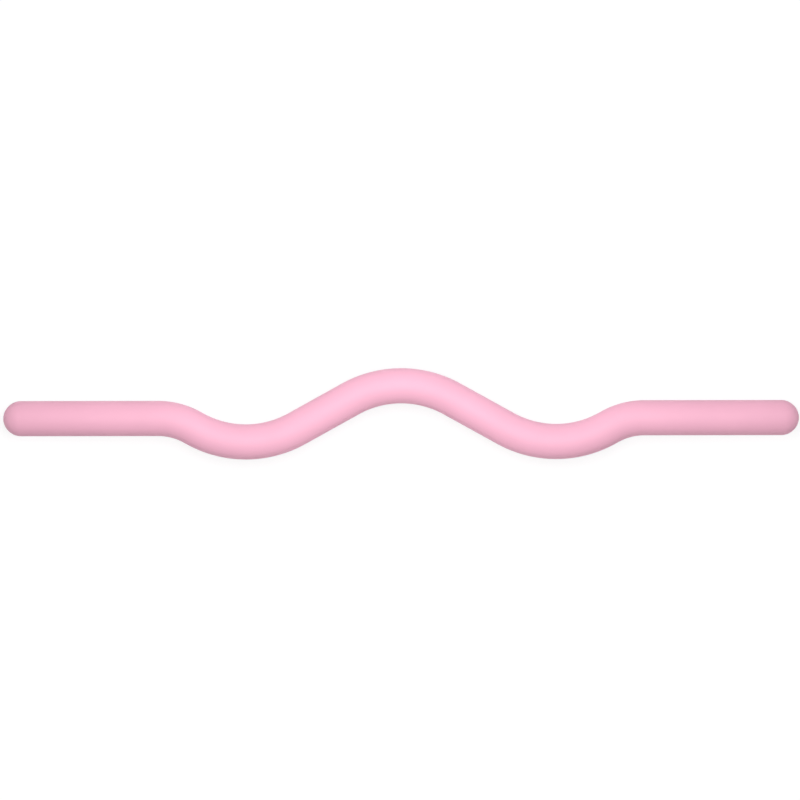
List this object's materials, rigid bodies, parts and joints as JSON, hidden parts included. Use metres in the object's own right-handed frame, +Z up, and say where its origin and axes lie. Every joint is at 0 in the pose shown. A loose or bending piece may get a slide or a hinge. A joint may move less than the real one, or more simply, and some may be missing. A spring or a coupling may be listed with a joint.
{
  "type": "curved training barbell",
  "caption": "Wave-shaped weighted training bar: a matte silicone jacket with half-round ends, moulded over a bent, plugged and ballasted steel tube.",
  "frame": {"origin": "on the surface that the bar lies on, under the middle of its outline", "axes": "+X runs along the bar, +Y points to the side that the middle bend crests towards, +Z is up, square to the plane of the bends"},
  "size_m": [0.91, 0.104, 0.04],
  "materials": {
    "pink_silicone": "matte moulded silicone, pastel pink",
    "tube_steel": "drawn steel tube, bare",
    "plug_steel": "turned, bare",
    "steel_grit": "packed dark grit",
    "grey_felt": "pressed felt"
  },
  "bodies": {
    "root": {"grip_jacket": "pink_silicone", "end_button_left": "pink_silicone", "end_button_right": "pink_silicone", "core_tube": "tube_steel", "core_plug_left": "plug_steel", "core_plug_right": "plug_steel", "ballast_charge": "steel_grit", "ballast_wad_left": "grey_felt", "ballast_wad_right": "grey_felt"}
  },
  "joints": []
}
